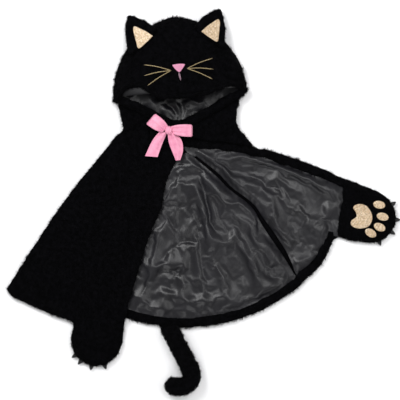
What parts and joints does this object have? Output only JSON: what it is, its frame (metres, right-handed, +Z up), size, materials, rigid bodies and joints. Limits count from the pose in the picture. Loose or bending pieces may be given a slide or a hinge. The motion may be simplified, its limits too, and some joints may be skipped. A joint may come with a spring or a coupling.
{
  "type": "hooded cat cape",
  "caption": "Child's hooded cat cape of black plush with satin lining, ears, embroidered face, paw mitts, ribbon bow closure and a curled stuffed tail, laid flat.",
  "frame": {"origin": "a point of the back panel's underside, near the middle of the cape as it lies on its back", "axes": "+X across the cape towards the wearer's left, +Y from the hem towards the hood, +Z up from the surface that it lies on"},
  "size_m": [0.7896, 0.7726, 0.0465],
  "materials": {
    "plush": "short dense black pile, matt",
    "satin_lining": "black polyester satin, wrinkled",
    "palm_velour": "short black velour",
    "glitter_fabric": "gold glitter fabric",
    "ribbon": "pink satin ribbon",
    "whisker_thread": "gold embroidery thread",
    "nose_thread": "pink satin stitch",
    "claw_felt": "black felt",
    "fastener_tape": "hook and loop tape",
    "filling": "white polyester filling"
  },
  "bodies": {
    "cape_body": {"back_panel": "plush", "back_lining": "satin_lining", "back_hem_facing": "plush", "right_shoulder_panel": "plush", "left_shoulder_panel": "plush", "neck_facing": "plush", "closure_loop_patch": "fastener_tape"},
    "closure": {"closure_hook_patch": "fastener_tape", "closure_tab": "plush", "bow_knot": "ribbon", "bow_right_loop": "ribbon", "bow_left_loop": "ribbon", "bow_right_tail": "ribbon", "bow_left_tail": "ribbon"},
    "hood": {"hood_back_panel": "plush", "hood_face_panel": "plush", "hood_lining": "satin_lining", "hood_edge_facing": "plush", "nose": "nose_thread", "mouth_stitch": "nose_thread", "right_whiskers": "whisker_thread", "left_whiskers": "whisker_thread"},
    "right_front": {"right_front_panel": "plush", "right_front_lining": "satin_lining", "right_front_facing": "plush"},
    "left_front": {"left_front_panel": "plush", "left_front_lining": "satin_lining", "left_front_facing": "plush", "left_hem_facing": "plush"},
    "tail_base": {"tail_upper_shell": "plush", "tail_upper_filling": "filling"},
    "tail_end": {"tail_tip": "plush"},
    "right_ear": {"right_ear_back": "plush", "right_ear_front": "plush", "right_ear_inner": "glitter_fabric"},
    "right_mitt": {"right_paw_back": "plush", "right_paw_palm": "palm_velour", "right_main_pad": "glitter_fabric", "right_toe_pad_1": "glitter_fabric", "right_toe_pad_2": "glitter_fabric", "right_toe_pad_3": "glitter_fabric", "right_toe_pad_4": "glitter_fabric", "right_claw_1": "claw_felt", "right_claw_2": "claw_felt", "right_claw_3": "claw_felt", "right_claw_4": "claw_felt"},
    "left_ear": {"left_ear_back": "plush", "left_ear_front": "plush", "left_ear_inner": "glitter_fabric"},
    "left_mitt": {"left_paw_back": "plush", "left_paw_palm": "palm_velour", "left_main_pad": "glitter_fabric", "left_toe_pad_1": "glitter_fabric", "left_toe_pad_2": "glitter_fabric", "left_toe_pad_3": "glitter_fabric", "left_toe_pad_4": "glitter_fabric", "left_claw_1": "claw_felt", "left_claw_2": "claw_felt", "left_claw_3": "claw_felt", "left_claw_4": "claw_felt"}
  },
  "joints": [
    {"name": "hood_fold", "type": "hinge", "parent": "cape_body", "child": "hood", "pos_m": [-0.0416, 0.18609, 0], "axis": [0.9972, 0.075, 0], "range_deg": [-160, 0]},
    {"name": "right_ear_bend", "type": "hinge", "parent": "hood", "child": "right_ear", "pos_m": [-0.13037, 0.32633, 0.0038], "axis": [0.6782, 0.7349, 0], "range_deg": [-45, 45]},
    {"name": "left_ear_bend", "type": "hinge", "parent": "hood", "child": "left_ear", "pos_m": [0.0252, 0.33803, 0.0038], "axis": [0.7804, -0.6252, 0], "range_deg": [-45, 45]},
    {"name": "closure_peel", "type": "hinge", "parent": "cape_body", "child": "closure", "pos_m": [-0.12, 0.13, 0.0139], "axis": [0, -1, 0], "range_deg": [0, 115]},
    {"name": "right_front_fold", "type": "hinge", "parent": "cape_body", "child": "right_front", "pos_m": [-0.036, 0.11, 0.0145], "axis": [-0.6561, -0.7547, 0], "range_deg": [0, 170]},
    {"name": "left_front_fold", "type": "hinge", "parent": "cape_body", "child": "left_front", "pos_m": [-0.036, 0.11, 0.0105], "axis": [-0.6561, 0.7547, 0], "range_deg": [-170, 0]},
    {"name": "right_wrist_bend", "type": "hinge", "parent": "right_front", "child": "right_mitt", "pos_m": [-0.202, -0.228, 0.01025], "axis": [0.9848, -0.1736, 0], "range_deg": [-60, 60]},
    {"name": "left_wrist_bend", "type": "hinge", "parent": "left_front", "child": "left_mitt", "pos_m": [0.287, -0.024, 0.00325], "axis": [-0.1392, -0.9903, 0], "range_deg": [-60, 60]},
    {"name": "tail_swing", "type": "hinge", "parent": "cape_body", "child": "tail_base", "pos_m": [-0.065, -0.254, 0.017], "axis": [0, 0, 1], "range_deg": [-25, 25]},
    {"name": "tail_curl", "type": "hinge", "parent": "tail_base", "child": "tail_end", "pos_m": [-0.03478, -0.3188, 0.017], "axis": [0, 0, 1], "range_deg": [-30, 30]}
  ]
}
